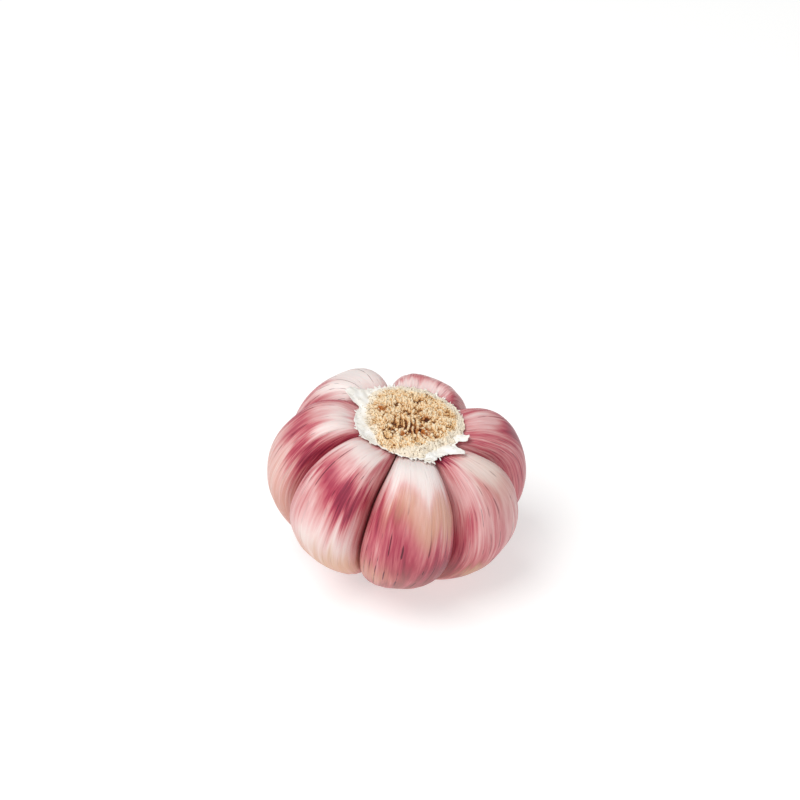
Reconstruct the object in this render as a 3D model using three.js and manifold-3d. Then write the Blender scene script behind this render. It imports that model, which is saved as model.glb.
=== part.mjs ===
// A purple-skinned garlic bulb with its outer wrapper peeled away, so the ring of cloves round the stalk
// shows. It lies root plate up and leans a little, resting on the low points of its cloves. All lengths are
// in millimetres, with +Z up.
import * as THREE from "three";
import { mergeVertices } from "three/addons/utils/BufferGeometryUtils.js";
import Module from "manifold-3d";

const wasm = await Module();
wasm.setup();
const { degToRad } = THREE.MathUtils;

// Driving dimensions. Radii are from the stalk's axis, heights from the level where the bulb is widest.
const BULB_RADIUS = 29;
const SHOULDER_HEIGHT = 17.4;
const TIP_HEIGHT = -21;
const LEAN = degToRad(10.5);
const LEAN_TOWARDS = degToRad(-14);
const FLAT_DEPTH = 0.45;
const CLOVE_GAP = 0.36;
const SKIN_GAP = 0.35;
const PLATE_RADIUS = 10.1;
const PLATE_TOP = 16.9;
const STALK_RADIUS = 2.5;
const STALK_END = -19.4;
const COLLAR_THICKNESS = 0.8;

// A standard clove's outline in the plane of the stalk's axis, from root end to tip, as [radius, height]:
// along its outside, and along its inner edge beside the stalk.
const CLOVE_OUTSIDE = [
  [7.6, 13.4],
  [9.2, 15.2],
  [12.6, 16.6],
  [17.0, SHOULDER_HEIGHT],
  [22.2, 15.4],
  [26.6, 9.8],
  [BULB_RADIUS, 1.8],
  [27.8, -5.4],
  [23.9, -11.8],
  [18.2, -16.6],
  [12.0, -19.6],
  [6.4, TIP_HEIGHT],
];
const CLOVE_INSIDE = [
  [7.6, 13.4],
  [5.4, 12.4],
  [4.2, 10.0],
  [3.7, 5.0],
  [3.7, 0.0],
  [3.8, -5.0],
  [4.4, -8.0],
  [5.2, -11.0],
  [5.4, -14.0],
  [5.5, -17.0],
  [5.7, -19.4],
  [6.4, TIP_HEIGHT],
];

// Each clove, round from the front: the azimuth of the seam on its left, seen from outside, in degrees
// anticlockwise from above at three levels (under the skin collar, where the bulb is widest, and at the
// tips), its own reach outwards and downwards against the standard clove, the height of the keel along its
// back, and how far its pointed end runs on beyond the standard one, both in millimetres.
const CLOVES = [
  { seam: { root: -106, belly: -110, tip: -108 }, out: 1.0, down: 0.96, crest: 0.0, tip: 1.6 },
  { seam: { root: -63, belly: -58, tip: -62 }, out: 1.01, down: 1.0, crest: 0.0, tip: 0.0 },
  { seam: { root: -25, belly: -9, tip: -14 }, out: 1.01, down: 1.0, crest: 0.8, tip: 0.0 },
  { seam: { root: 39, belly: 35, tip: 33 }, out: 0.83, down: 1.0, crest: 0.3, tip: 0.9 },
  { seam: { root: 109, belly: 105, tip: 100 }, out: 0.97, down: 1.0, crest: 0.0, tip: 2.0 },
  { seam: { root: 155, belly: 164, tip: 160 }, out: 1.01, down: 1.04, crest: 0.0, tip: 1.3 },
  { seam: { root: 207, belly: 205, tip: 204 }, out: 1.01, down: 0.97, crest: 0.0, tip: 2.4 },
];
// How boxy a clove's back is in section: 1 is oval, and less is squarer. A lower fullness keeps the back high
// until close to the seams.
const BELLY_SQUARENESS = 0.6;
const TIP_SQUARENESS = 0.84;
const FULLNESS = 0.68;

// The rim of the torn skin collar, as [azimuth in degrees, radius], and its flaps that stand up.
const COLLAR_RIM = [
  [10, 12.0],
  [52, 12.1],
  [76, 12.2],
  [92, 11.6],
  [110, 11.6],
  [120, 11.9],
  [132, 13.0],
  [139, 14.0],
  [147, 14.7],
  [159, 14.8],
  [167, 11.8],
  [180, 12.1],
  [204, 12.9],
  [218, 13.5],
  [226, 12.9],
  [244, 11.8],
  [264, 12.3],
  [284, 12.6],
  [293, 13.5],
  [300, 12.7],
  [310, 13.0],
  [320, 15.4],
  [329, 12.0],
  [336, 13.6],
  [342, 12.0],
  [355, 11.7],
];
const COLLAR_FLAPS = [
  { azimuth: 153, width: 12, lift: 0.5 },
  { azimuth: 215, width: 14, lift: 0.25 },
  { azimuth: 293, width: 6, lift: 0.25 },
  { azimuth: 320, width: 6, lift: 0.6 },
  { azimuth: 336, width: 4, lift: 0.8 },
];
const CLOVE_RINGS = 20;
const CLOVE_SIDES = 24;

const smooth = (x) => x * x * (3 - 2 * x);
const clamp01 = (x) => Math.min(Math.max(x, 0), 1);
const rounded = (x) => Math.sqrt(1 - (1 - clamp01(x)) ** 2);

// A repeatable draw of numbers from 0 to 1.
function seeded(seed) {
  let state = seed;
  return () => {
    state = (state * 1664525 + 1013904223) % 4294967296;
    return state / 4294967296;
  };
}

// The point at a share of the way along a smooth curve through points.
function along(points, share) {
  const place = clamp01(share) * (points.length - 1);
  const i = Math.min(Math.floor(place), points.length - 2);
  const f = place - i;
  const at = (k) => points[Math.min(Math.max(k, 0), points.length - 1)];
  return [0, 1].map((axis) => {
    const [a, b, c, d] = [at(i - 1)[axis], at(i)[axis], at(i + 1)[axis], at(i + 2)[axis]];
    return 0.5 * (2 * b + f * (c - a + f * (2 * a - 5 * b + 4 * c - d + f * (3 * b - a - 3 * c + d))));
  });
}

// The height of a standard clove's outside over a radius near the root plate.
function shoulderHeight(radius) {
  let share = 0;
  while (along(CLOVE_OUTSIDE, share)[0] < radius) share += 0.002;
  return along(CLOVE_OUTSIDE, share)[1];
}

// A closed surface from rows of points, each row a ring, with one point at each end.
function ringsGeometry(first, rings, last) {
  const sides = rings[0].length;
  const faces = [];
  const id = (ring, k) => 1 + ring * sides + (k % sides);
  const end = 1 + rings.length * sides;
  for (let k = 0; k < sides; k++) {
    faces.push(0, id(0, k), id(0, k + 1));
    for (let ring = 0; ring < rings.length - 1; ring++) {
      faces.push(id(ring, k), id(ring + 1, k), id(ring + 1, k + 1));
      faces.push(id(ring, k), id(ring + 1, k + 1), id(ring, k + 1));
    }
    faces.push(end, id(rings.length - 1, k + 1), id(rings.length - 1, k));
  }
  const geometry = new THREE.BufferGeometry();
  const positions = [first, ...rings.flat(), last].flat();
  geometry.setAttribute("position", new THREE.Float32BufferAttribute(positions, 3));
  geometry.setIndex(faces);
  return geometry;
}

// A closed surface from rows of points round a ring-shaped section, the last row joining the first.
function hoopGeometry(rows) {
  const count = rows.length;
  const sides = rows[0].length;
  const faces = [];
  const id = (row, k) => (row % count) * sides + (k % sides);
  for (let row = 0; row < count; row++) {
    for (let k = 0; k < sides; k++) {
      faces.push(id(row, k), id(row + 1, k), id(row + 1, k + 1));
      faces.push(id(row, k), id(row + 1, k + 1), id(row, k + 1));
    }
  }
  const geometry = new THREE.BufferGeometry();
  geometry.setAttribute("position", new THREE.Float32BufferAttribute(rows.flat(2), 3));
  geometry.setIndex(faces);
  return geometry;
}

function solidOf(geometry) {
  const bare = geometry.clone();
  bare.deleteAttribute("normal");
  bare.deleteAttribute("uv");
  const merged = mergeVertices(bare, 1e-4);
  const vertProperties = new Float32Array(merged.attributes.position.array);
  const triVerts = new Uint32Array(merged.index.array);
  return new wasm.Manifold(new wasm.Mesh({ numProp: 3, vertProperties, triVerts }));
}

function geometryOf(solid) {
  const mesh = solid.getMesh();
  const geometry = new THREE.BufferGeometry();
  geometry.setAttribute("position", new THREE.BufferAttribute(new Float32Array(mesh.vertProperties), 3));
  geometry.setIndex(new THREE.BufferAttribute(new Uint32Array(mesh.triVerts), 1));
  return geometry;
}

const polar = (radius, azimuth, height) => [radius * Math.cos(azimuth), radius * Math.sin(azimuth), height];

// The azimuth of a seam at a radius and height, in degrees. Both its cloves use it, so they never cross.
function seamAzimuth({ root, belly, tip }, radius, height) {
  const level = Math.atan2(radius, height) / Math.PI;
  const toBelly = smooth(clamp01((level - 0.18) / 0.22));
  const toTip = smooth(clamp01((level - 0.5) / 0.4));
  return root + (belly - root) * toBelly + (tip - belly) * toTip;
}

function cloveGeometry(index) {
  const { seam, out, down, crest, tip } = CLOVES[index];
  const next = CLOVES[(index + 1) % CLOVES.length].seam;
  const turn = index + 1 === CLOVES.length ? 360 : 0;
  const point = (share, side) => {
    const outside = along(CLOVE_OUTSIDE, share);
    const inside = along(CLOVE_INSIDE, share);
    const ends = rounded(share / 0.1) * rounded((1 - share) / 0.22);
    const clearOfPlate = smooth(clamp01((share - 0.16) / 0.22));
    const keel = (crest / BULB_RADIUS) * Math.exp(-((Math.sin(side) / 0.3) ** 2));
    const swell = 1 + clearOfPlate * ends * (out - 1 + (Math.cos(side) > 0 ? keel : 0));
    const depth = ((1 + Math.cos(side)) / 2) ** FULLNESS;
    const radius = inside[0] + (outside[0] * swell - inside[0]) * depth;
    const straight = inside[1] + (outside[1] - inside[1]) * depth;
    const height = (straight < 0 ? straight * down : straight) - tip * smooth(clamp01((share - 0.72) / 0.28));
    const from = degToRad(seamAzimuth(seam, radius, height));
    const to = degToRad(seamAzimuth(next, radius, height) + turn);
    const towardsTip = smooth(clamp01((share - 0.45) / 0.35));
    const squareness = BELLY_SQUARENESS + (TIP_SQUARENESS - BELLY_SQUARENESS) * towardsTip;
    const across = Math.sign(Math.sin(side)) * Math.abs(Math.sin(side)) ** squareness * ends;
    const halfSpan = (to - from) / 2 - CLOVE_GAP / 2 / radius;
    return polar(radius, (from + to) / 2 + across * halfSpan, height);
  };
  const rings = [];
  for (let ring = 1; ring < CLOVE_RINGS; ring++) {
    const share = (1 - Math.cos((Math.PI * ring) / CLOVE_RINGS)) / 2;
    rings.push(Array.from({ length: CLOVE_SIDES }, (_, k) => point(share, (2 * Math.PI * k) / CLOVE_SIDES)));
  }
  return ringsGeometry(point(0, 0), rings, point(1, 0));
}

// The woody plate under the cloves' root ends, with its mat of clipped roots raised from it as small pegs.
function rootPlateGeometry() {
  const profile = [
    [0, 12.4],
    [3.2, 12.5],
    [5.2, 13.2],
    [7.4, 14.4],
    [9.0, 15.9],
    [9.9, 16.5],
    [PLATE_RADIUS, PLATE_TOP],
    [9.2, 17.3],
    [6.5, PLATE_TOP],
    [3.5, 16.5],
    [0, 16.3],
  ].map(([radius, height]) => new THREE.Vector2(radius, height));
  const plate = solidOf(new THREE.LatheGeometry(profile, 30).rotateX(Math.PI / 2));
  const draw = seeded(7);
  const pegs = [];
  const pegCount = 116;
  const goldenAngle = Math.PI * (3 - Math.sqrt(5));
  for (let i = 0; i < pegCount; i++) {
    const radius = (PLATE_RADIUS - 0.7) * Math.sqrt((i + 0.5) / pegCount);
    const azimuth = i * goldenAngle + 0.3 * (draw() - 0.5);
    const width = 0.5 + 0.22 * draw();
    const length = 2 + 0.8 * draw();
    const peg = new THREE.CylinderGeometry(0.55 * width, width, length, 5, 1);
    peg.rotateX(Math.PI / 2).rotateZ(6 * draw());
    peg.rotateY(0.06 * radius + 0.5 * (draw() - 0.5)).rotateX(0.7 * (draw() - 0.5));
    peg.translate(radius, 0, 16.4 + 0.5 * length - 0.9).rotateZ(azimuth);
    pegs.push(solidOf(peg));
  }
  return geometryOf(wasm.Manifold.union([plate, ...pegs]));
}

// The torn white skin that is left round the root plate. Its rim is ragged, with a few longer flaps.
function skinCollarGeometry() {
  const steps = 96;
  const shares = [0, 0.5, 1];
  const rimAt = (azimuth) => {
    const found = COLLAR_RIM.findIndex(([turn]) => turn > azimuth);
    const next = found < 0 ? 0 : found;
    const [start, low] = COLLAR_RIM.at(next - 1);
    const [stop, high] = COLLAR_RIM[next];
    const share = ((azimuth - start + 360) % 360) / ((stop - start + 360) % 360);
    return low + (high - low) * smooth(share);
  };
  const rows = [];
  for (let i = 0; i < steps; i++) {
    const azimuth = (360 * i) / steps;
    const turn = degToRad(azimuth);
    const lift = COLLAR_FLAPS.reduce((sum, flap) => {
      return sum + flap.lift * Math.exp(-(((azimuth - flap.azimuth) / flap.width) ** 2));
    }, 0);
    const ragged = 0.12 * Math.sin(23 * turn) + 0.12 * Math.sin(37 * turn);
    const inner = PLATE_RADIUS + SKIN_GAP;
    const outer = rimAt(azimuth) + ragged;
    const under = shares.map((share) => {
      const radius = inner + (outer - inner) * share;
      return polar(radius, turn, shoulderHeight(radius) + SKIN_GAP + lift * share * share);
    });
    const over = under.map(([x, y, z], k) => [x, y, z + COLLAR_THICKNESS * (1 - 0.2 * shares[k])]);
    rows.push([...under, ...over.reverse()]);
  }
  return hoopGeometry(rows);
}

// The dried flower stalk, from the root plate to the neck, where it is broken off short.
function stalkGeometry() {
  const flutes = 7;
  const rings = [11.9, 10.8, 6, 0, -8, -14, -18, STALK_END].map((height, ring) =>
    Array.from({ length: 21 }, (_, k) => {
      const azimuth = (2 * Math.PI * k) / 21;
      const flare = ring === 0 ? 1.1 : 1;
      const radius = STALK_RADIUS * flare * (1 + 0.08 * Math.cos(flutes * azimuth));
      return polar(radius, azimuth, height);
    }),
  );
  return ringsGeometry([0, 0, 11.9], rings, [0, 0, STALK_END + 0.7]);
}

// The dry leaf sheath that still wraps the stalk's end between the tips of the cloves.
function neckSheathGeometry() {
  const steps = 42;
  const rows = [];
  for (let i = 0; i < steps; i++) {
    const turn = (2 * Math.PI * i) / steps;
    const crumple = 0.22 * Math.cos(6 * turn) + 0.12 * Math.cos(14 * turn + 1);
    const end = -19.6 + 0.5 * Math.sin(5 * turn) + 0.4 * Math.sin(13 * turn);
    const heights = [-9, -14, end];
    const inside = heights.map((height) => polar(3.15 + 0.4 * crumple, turn, height));
    const outside = heights.map((height, k) => polar(4.0 + crumple * (0.5 + 0.2 * k), turn, height));
    rows.push([...outside.reverse(), ...inside]);
  }
  return hoopGeometry(rows);
}

const finish = (color, roughness) => new THREE.MeshStandardMaterial({ color, roughness, metalness: 0 });
const cloveSkin = finish("#c4787c", 0.42);
const rootTan = finish("#caa071", 0.95);
const paperWhite = finish("#efeae2", 0.8);
const strawBrown = finish("#c9ad83", 0.9);

const bulb = new THREE.Group();
function add(name, geometry, material) {
  const mesh = new THREE.Mesh(geometry, material);
  mesh.name = name;
  bulb.add(mesh);
  return mesh;
}

const cloves = CLOVES.map((_, i) => add(`clove_${i + 1}`, cloveGeometry(i), cloveSkin));
add("root_plate", rootPlateGeometry(), rootTan);
add("skin_collar", skinCollarGeometry(), paperWhite);
add("stalk", stalkGeometry(), strawBrown);
add("neck_sheath", neckSheathGeometry(), strawBrown);

bulb.quaternion.setFromAxisAngle(new THREE.Vector3(-Math.sin(LEAN_TOWARDS), Math.cos(LEAN_TOWARDS), 0), LEAN);

// The bulb is set down so that its lowest cloves have small flats on the surface it lies on.
const garlic = new THREE.Group();
garlic.add(bulb);
garlic.updateMatrixWorld(true);
const bounds = new THREE.Box3().setFromObject(bulb, true);
const middle = bounds.getCenter(new THREE.Vector3());
bulb.position.set(-middle.x, -middle.y, -bounds.min.z - FLAT_DEPTH);
garlic.updateMatrixWorld(true);
const slab = new THREE.BoxGeometry(90, 90, 20).translate(0, 0, -10);
const surface = solidOf(slab.applyMatrix4(bulb.matrixWorld.clone().invert()));
for (const clove of cloves) clove.geometry = geometryOf(solidOf(clove.geometry).subtract(surface));

export default garlic;
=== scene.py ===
"""A purple-skinned garlic bulb, root plate up, with its outer wrapper peeled away."""

import functools
import math
import random

import bmesh
import bpy
from mathutils import Matrix, Quaternion, Vector, noise

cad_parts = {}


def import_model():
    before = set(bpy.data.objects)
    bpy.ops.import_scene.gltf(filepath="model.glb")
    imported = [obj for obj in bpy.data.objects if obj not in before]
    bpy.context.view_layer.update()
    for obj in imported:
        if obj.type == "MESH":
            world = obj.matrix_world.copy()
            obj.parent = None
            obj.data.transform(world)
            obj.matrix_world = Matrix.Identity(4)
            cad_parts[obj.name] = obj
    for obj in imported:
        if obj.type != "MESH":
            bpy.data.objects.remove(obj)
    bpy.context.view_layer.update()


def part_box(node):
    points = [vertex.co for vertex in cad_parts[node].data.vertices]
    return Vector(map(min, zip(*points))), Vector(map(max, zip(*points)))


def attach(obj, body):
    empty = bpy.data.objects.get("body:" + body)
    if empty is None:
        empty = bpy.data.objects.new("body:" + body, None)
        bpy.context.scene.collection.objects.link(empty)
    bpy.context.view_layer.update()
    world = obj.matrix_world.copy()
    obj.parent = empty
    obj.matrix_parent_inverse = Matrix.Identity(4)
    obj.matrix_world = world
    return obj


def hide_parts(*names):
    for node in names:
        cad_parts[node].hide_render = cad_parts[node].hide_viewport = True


MM = 0.001

# The clove ring, in the bulb's own frame: radii from the stalk's axis and heights from the widest level, in mm.
SHOULDER_HEIGHT = 17.4
BULB_RADIUS = 29.0
TIP_HEIGHT = -21.0
CLOVE_GAP = 0.12
BELLY_SQUARENESS = 0.6
TIP_SQUARENESS = 0.84
FULLNESS = 0.68
SKIN_GAP = 0.35
PLATE_RADIUS = 10.1
LEAN = math.radians(10.5)
LEAN_TOWARDS = math.radians(-14)

CLOVE_OUTSIDE = (
    (7.6, 13.4), (9.2, 15.2), (12.6, 16.6), (17.0, SHOULDER_HEIGHT), (22.2, 15.4), (26.6, 9.8),
    (BULB_RADIUS, 1.8), (27.8, -5.4), (23.9, -11.8), (18.2, -16.6), (12.0, -19.6), (6.4, TIP_HEIGHT),
)
CLOVE_INSIDE = (
    (7.6, 13.4), (5.4, 12.4), (4.2, 10.0), (3.7, 5.0), (3.7, 0.0), (3.8, -5.0),
    (4.4, -8.0), (5.2, -11.0), (5.4, -14.0), (5.5, -17.0), (5.7, -19.4), (6.4, TIP_HEIGHT),
)

# For each clove: the seam on its left, seen from outside, as azimuths under the collar, at the belly and
# at the tips, then its own reach outwards and downwards, the keel along its back in mm, how far its tip runs on in
# mm, and how much pigment its skin has.
CLOVES = [
    {"seam": (-106, -110, -108), "out": 1.0, "down": 0.96, "crest": 0.0, "tip": 1.6, "pigment": 0.5},
    {"seam": (-63, -58, -62), "out": 1.01, "down": 1.0, "crest": 0.0, "tip": 0.0, "pigment": 0.46},
    {"seam": (-25, -9, -14), "out": 1.01, "down": 1.0, "crest": 0.3, "tip": 0.0, "pigment": 0.62},
    {"seam": (39, 35, 33), "out": 0.83, "down": 1.0, "crest": 0.3, "tip": 0.9, "pigment": 0.46},
    {"seam": (109, 105, 100), "out": 0.97, "down": 1.0, "crest": 0.0, "tip": 2.0, "pigment": 0.42},
    {"seam": (155, 164, 160), "out": 1.01, "down": 1.04, "crest": 0.0, "tip": 1.3, "pigment": 0.46},
    {"seam": (207, 205, 204), "out": 1.01, "down": 0.97, "crest": 0.0, "tip": 2.4, "pigment": 0.46},
]

# Where the skin of each clove is stained, as (kind, across, along, half width, half length, strength). Across runs
# from -1 at the left seam, seen from outside, to 1 at the right one, and along from 0 at the root to 1 at the tip.
# Crimson adds pigment and pale takes it away. Some entries are painted light rather than stains: painted highlight
# and painted light under the collar in some pale ones, and painted shade in seams, under the collar and low down in
# some crimson ones, as marked below.
STAINS_AND_PAINTED_LIGHT = {
    1: [
        # The first pale stain is partly the skin's own cream and partly painted highlight and painted light where the
        # collar shades the clove.
        ("pale", -0.05, 0.25, 0.9, 0.12, 0.5), ("crimson", -0.4, 0.455, 0.32, 0.045, 0.27),
        ("tan", 0.15, 0.42, 0.5, 0.06, 0.5), ("crimson", -0.1, 0.57, 0.9, 0.07, 0.12), ("vein", 0.0, 0.58, 0.9, 0.12, 1.0),
        ("tan", -0.4, 0.64, 0.3, 0.06, 0.35), ("pale", 0.2, 0.41, 0.4, 0.04, 0.1), ("crimson", 0.5, 0.62, 0.45, 0.1, 0.46),
        # The crimson stain at along 0.71 is painted shade towards the clove's underside.
        ("pale", -0.85, 0.3, 0.25, 0.1, 0.2), ("crimson", 0.15, 0.71, 0.5, 0.06, 0.25),
    ],
    2: [
        ("pale", 0.1, 0.3, 0.3, 0.09, 0.36), ("pale", 0.42, 0.38, 0.1, 0.12, 0.2), ("tan", 0.1, 0.34, 0.3, 0.12, 0.25),
        # The crimson stain at along 0.18 is painted shadow of the skin collar.
        ("crimson", -0.5, 0.18, 0.45, 0.05, 0.5), ("crimson", -0.5, 0.45, 0.14, 0.05, 0.14),
        ("crimson", -0.9, 0.6, 0.35, 0.17, 0.32), ("crimson", -0.3, 0.69, 0.6, 0.07, 0.32), ("crimson", 0.2, 0.61, 0.7, 0.09, 0.13), ("tan", -0.2, 0.67, 0.3, 0.05, 0.5),
        ("vein", 0, 0.5, 0.9, 0.2, 0.4), ("crimson", 0.6, 0.47, 0.35, 0.1, 0.22), ("pale", -0.5, 0.35, 0.3, 0.06, 0.12),
    ],
    3: [
        ("pale", -0.85, 0.25, 0.25, 0.1, 0.14), ("crimson", 0.1, 0.38, 0.3, 0.05, 0.12), ("pale", 0.02, 0.26, 0.16, 0.09, 0.26), ("pale", 0.16, 0.3, 0.05, 0.1, 0.2),
        ("crimson", 0.3, 0.5, 0.6, 0.14, 0.1), ("vein", 0, 0.42, 1.0, 0.2, 0.5),
    ],
    4: [
        ("pale", 0.25, 0.2, 0.5, 0.05, 0.3), ("crimson", -0.7, 0.26, 0.3, 0.1, 0.35), ("pale", 0.5, 0.5, 0.5, 0.2, 0.2),
        ("vein", 0, 0.4, 1.0, 0.2, 0.4),
    ],
    5: [
        # The crimson stain at across 0.92 here and the one at across -0.5 on clove 6 are painted shade in the seam
        # between cloves 5 and 6.
        ("pale", 0.15, 0.27, 0.65, 0.13, 0.38), ("crimson", 0.92, 0.3, 0.2, 0.18, 0.5),
        ("crimson", 0.1, 0.45, 0.8, 0.06, 0.15), ("pale", -0.2, 0.62, 0.7, 0.12, 0.2), ("vein", 0.2, 0.35, 0.9, 0.2, 0.5),
    ],
    6: [
        # The first pale stain is partly the skin's own cream and partly painted highlight.
        ("pale", 0.26, 0.27, 0.34, 0.08, 0.34), ("crimson", 0.25, 0.42, 0.45, 0.05, 0.34), ("crimson", -0.5, 0.33, 0.28, 0.12, 0.5),
        ("crimson", 0.76, 0.37, 0.25, 0.15, 0.42), ("pale", 0.05, 0.58, 0.8, 0.1, 0.1),
        ("crimson", 0.85, 0.55, 0.2, 0.1, 0.2), ("tan", 0.2, 0.6, 0.8, 0.12, 0.3), ("vein", 0.1, 0.4, 0.9, 0.1, 0.5),
    ],
    7: [
        # The first pale stain is partly the skin's own cream and partly painted highlight and painted light where the
        # collar shades the clove.
        ("pale", 0.05, 0.25, 0.5, 0.08, 0.34), ("crimson", 0.3, 0.43, 0.45, 0.05, 0.4), ("crimson", 0.75, 0.25, 0.25, 0.1, 0.25),
        ("crimson", 0.3, 0.47, 0.2, 0.04, 0.15), ("crimson", -0.3, 0.39, 0.3, 0.03, 0.16), ("pale", -0.12, 0.45, 0.12, 0.03, 0.2),
        ("pale", 0.25, 0.61, 0.6, 0.09, 0.31), ("tan", 0.35, 0.7, 0.6, 0.1, 0.6), ("crimson", 0.95, 0.45, 0.15, 0.14, 0.15),
        ("crimson", -0.75, 0.53, 0.35, 0.08, 0.24), ("crimson", 0.45, 0.29, 0.1, 0.06, 0.15),
        ("vein", 0.2, 0.4, 0.6, 0.08, 0.8),
    ],
}

# The torn rim of the skin collar and the edge of the root crust that lies over it, as (azimuth, radius in mm).
COLLAR_RIM = (
    (10, 11.9), (52, 11.7), (76, 11.7), (92, 11.5), (110, 11.6), (120, 11.8), (132, 12.3), (140, 12.9), (147, 13.8),
    (153, 15.4), (159, 15.7), (163, 14.2), (168, 11.4), (180, 12.1), (192, 12.6), (204, 12.9), (218, 13.5), (226, 12.9),
    (236, 11.9), (244, 11.7), (264, 12.2), (281, 12.3), (287, 13.4), (293, 14.0), (298, 12.5), (310, 12.5), (320, 15.4),
    (327, 12.0), (332, 11.4), (336, 11.5), (339, 13.4), (347, 13.0), (350, 11.8), (355, 11.6),
)
CRUST_EDGE = (
    (0, 12.0), (30, 11.8), (60, 11.5), (90, 11.6), (110, 11.5), (130, 11.6), (150, 11.0), (180, 10.0), (210, 10.2),
    (235, 11.2), (252, 11.9), (270, 12.2), (285, 11.8), (298, 10.4), (315, 10.2), (330, 10.7), (340, 10.7), (350, 11.6),
)
# Flaps of the collar that stand up, as (azimuth, half width in degrees, lift in mm).
FLAPS = [(155, 9, 0.5), (215, 14, 0.25), (320, 6, 0.6), (343, 4, 1.1), (291, 6, 0.35)]
# Marks in the root crust, as (kind, radius, azimuth, size in mm, strength).
CRUST_MARKS = [
    ("rust", 6.9, 163, 1.2, 1.1), ("rust", 5.7, 250, 0.9, 1.3), ("rust", 4.6, 314, 1.1, 0.9), ("rust", 3.6, 18, 0.8, 1.0),
    ("rust", 4.3, 292, 1.0, 0.9), ("rust", 5.2, 304, 1.7, 0.5), ("pit", 5.4, 125, 0.6, 0.9), ("pit", 4.9, 117, 0.5, 0.7), ("pit", 6.8, 74, 0.45, 0.7),
    ("pit", 6.0, 78, 0.5, 0.8), ("pit", 2.7, 114, 0.55, 1.0), ("pit", 2.2, 100, 0.5, 0.7), ("pit", 4.2, 61, 0.5, 0.8),
    ("pit", 4.4, 212, 0.6, 1.2), ("pit", 6.1, 225, 0.5, 0.9), ("pit", 6.0, 238, 0.5, 0.8), ("pit", 4.3, 267, 0.5, 1.0),
    ("pit", 1.6, 300, 0.5, 0.8), ("pit", 3.5, 10, 0.6, 1.1), ("pit", 5.0, 359, 0.5, 0.8), ("pit", 8.7, 26, 0.5, 0.7),
    ("pit", 8.0, 36, 0.45, 0.6), ("pit", 10.1, 68, 0.4, 0.8), ("pit", 9.7, 154, 0.35, 0.8), ("pit", 7.4, 318, 0.5, 0.6),
    ("pit", 3.4, 232, 0.5, 1.0), ("pit", 2.6, 330, 0.45, 0.8), ("pit", 5.6, 262, 0.4, 0.8), ("chalk", 10.9, 84, 1.5, 0.9),
    ("chalk", 10.6, 272, 1.8, 0.8), ("chalk", 10.4, 238, 2.4, -0.75), ("chalk", 10.2, 290, 2.0, 1.0), ("chalk", 9.6, 308, 1.2, 0.8),
]
# Broad flat root ends that stand clear of the rest, as (x, y, half width, half length in mm).
BROAD_ENDS = ((-2.75, -1.2, 0.8, 2.1), (-5.0, -5.9, 0.9, 1.5))


def smooth(x):
    x = min(max(x, 0.0), 1.0)
    return x * x * (3 - 2 * x)


def rounded(x):
    return math.sqrt(1 - (1 - min(max(x, 0.0), 1.0)) ** 2)


def linear(hex_colour):
    """The linear colour of an sRGB hex value."""
    channels = [int(hex_colour[i:i + 2], 16) / 255 for i in (1, 3, 5)]
    return [c / 12.92 if c <= 0.04045 else ((c + 0.055) / 1.055) ** 2.4 for c in channels] + [1.0]


@functools.cache
def along(points, share):
    """The point at a share of the way along a smooth curve through points."""
    place = min(max(share, 0.0), 1.0) * (len(points) - 1)
    i = min(int(place), len(points) - 2)
    f = place - i
    a, b, c, d = (points[min(max(i + k, 0), len(points) - 1)] for k in (-1, 0, 1, 2))
    return [
        0.5 * (2 * b[n] + f * (c[n] - a[n] + f * (2 * a[n] - 5 * b[n] + 4 * c[n] - d[n]
               + f * (3 * b[n] - a[n] - 3 * c[n] + d[n]))))
        for n in (0, 1)
    ]


@functools.cache
def shoulder_height(radius):
    """The height of a standard clove's outside over a radius near the root plate."""
    share = 0.0
    while along(CLOVE_OUTSIDE, round(share, 3))[0] < radius:
        share += 0.002
    return along(CLOVE_OUTSIDE, round(share, 3))[1]


def seam_azimuth(seam, radius, height):
    root, belly, tip = seam
    level = math.atan2(radius, height) / math.pi
    return root + (belly - root) * smooth((level - 0.18) / 0.22) + (tip - belly) * smooth((level - 0.5) / 0.4)


def polar(radius, azimuth, height):
    return Vector((radius * math.cos(azimuth), radius * math.sin(azimuth), height))


def clove_point(number, share, side):
    """A point of a clove's skin. side is 0 along the middle of its back and pi along its inner edge."""
    clove = CLOVES[number - 1]
    following = CLOVES[number % len(CLOVES)]["seam"]
    turn = 360 if number == len(CLOVES) else 0
    outside = along(CLOVE_OUTSIDE, share)
    inside = along(CLOVE_INSIDE, share)
    ends = rounded(share / 0.1) * rounded((1 - share) / 0.22)
    keel = clove["crest"] / BULB_RADIUS * math.exp(-((math.sin(side) / 0.3) ** 2)) if math.cos(side) > 0 else 0
    swell = 1 + smooth((share - 0.16) / 0.22) * ends * (clove["out"] - 1 + keel)
    depth = ((1 + math.cos(side)) / 2) ** FULLNESS
    radius = inside[0] + (outside[0] * swell - inside[0]) * depth
    height = inside[1] + (outside[1] - inside[1]) * depth
    height = height * clove["down"] if height < 0 else height
    height -= clove["tip"] * smooth((share - 0.72) / 0.28)
    start = math.radians(seam_azimuth(clove["seam"], radius, height))
    stop = math.radians(seam_azimuth(following, radius, height) + turn)
    squareness = BELLY_SQUARENESS + (TIP_SQUARENESS - BELLY_SQUARENESS) * smooth((share - 0.45) / 0.35)
    across = math.copysign(abs(math.sin(side)) ** squareness, math.sin(side)) * ends
    return polar(radius, (start + stop) / 2 + across * ((stop - start) / 2 - CLOVE_GAP / 2 / radius), height)


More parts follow.
